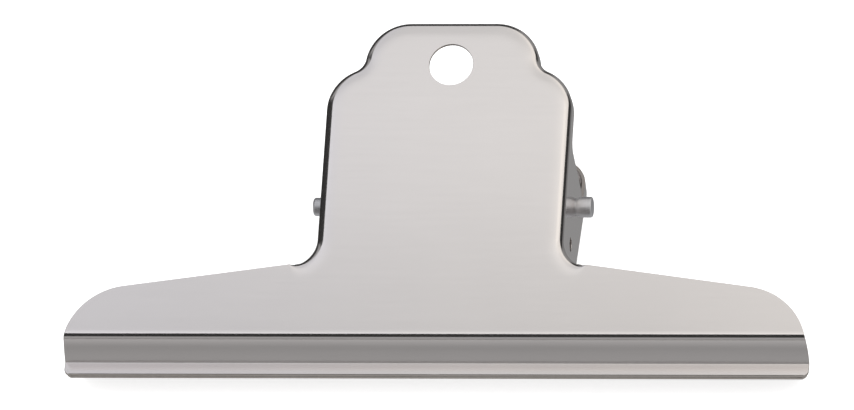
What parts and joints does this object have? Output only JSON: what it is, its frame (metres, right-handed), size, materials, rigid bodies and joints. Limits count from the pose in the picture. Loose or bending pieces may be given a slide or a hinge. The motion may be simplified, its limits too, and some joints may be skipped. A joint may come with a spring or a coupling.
{
  "type": "bulldog clip",
  "caption": "Wide sprung paper clip: a pair of folded sheet-metal plates with long jaws and shouldered handles, hinged on a cross pin and held shut by a coil spring.",
  "frame": {"origin": "on the flat outer face of the rear plate, on the clip's centre line, straight below the pivot axis", "axes": "+X along the jaw, towards the pin's flared head; +Y along the rear plate from the jaw lips to the handle tops; +Z out of the rear plate towards the front plate, away from the surface that the clip lies on"},
  "size_m": [0.125, 0.0618, 0.0332],
  "materials": {
    "plate_steel": "bright nickel plate over fine rolling lines",
    "pin_steel": "plated, turned",
    "spring_steel": "drawn spring wire, satin"
  },
  "bodies": {
    "rear": {"rear_plate": "plate_steel", "pivot_pin": "pin_steel", "torsion_spring": "spring_steel"},
    "front": {"front_plate": "plate_steel"}
  },
  "joints": [
    {"name": "jaw_hinge", "type": "hinge", "parent": "rear", "child": "front", "pos_m": [0, 0, 0.0118], "axis": [-1, 0, 0], "range_deg": [0, 50], "stiffness_Nm_per_rad": 0.6, "springref_deg": -20.05, "deforming": ["torsion_spring"]}
  ]
}
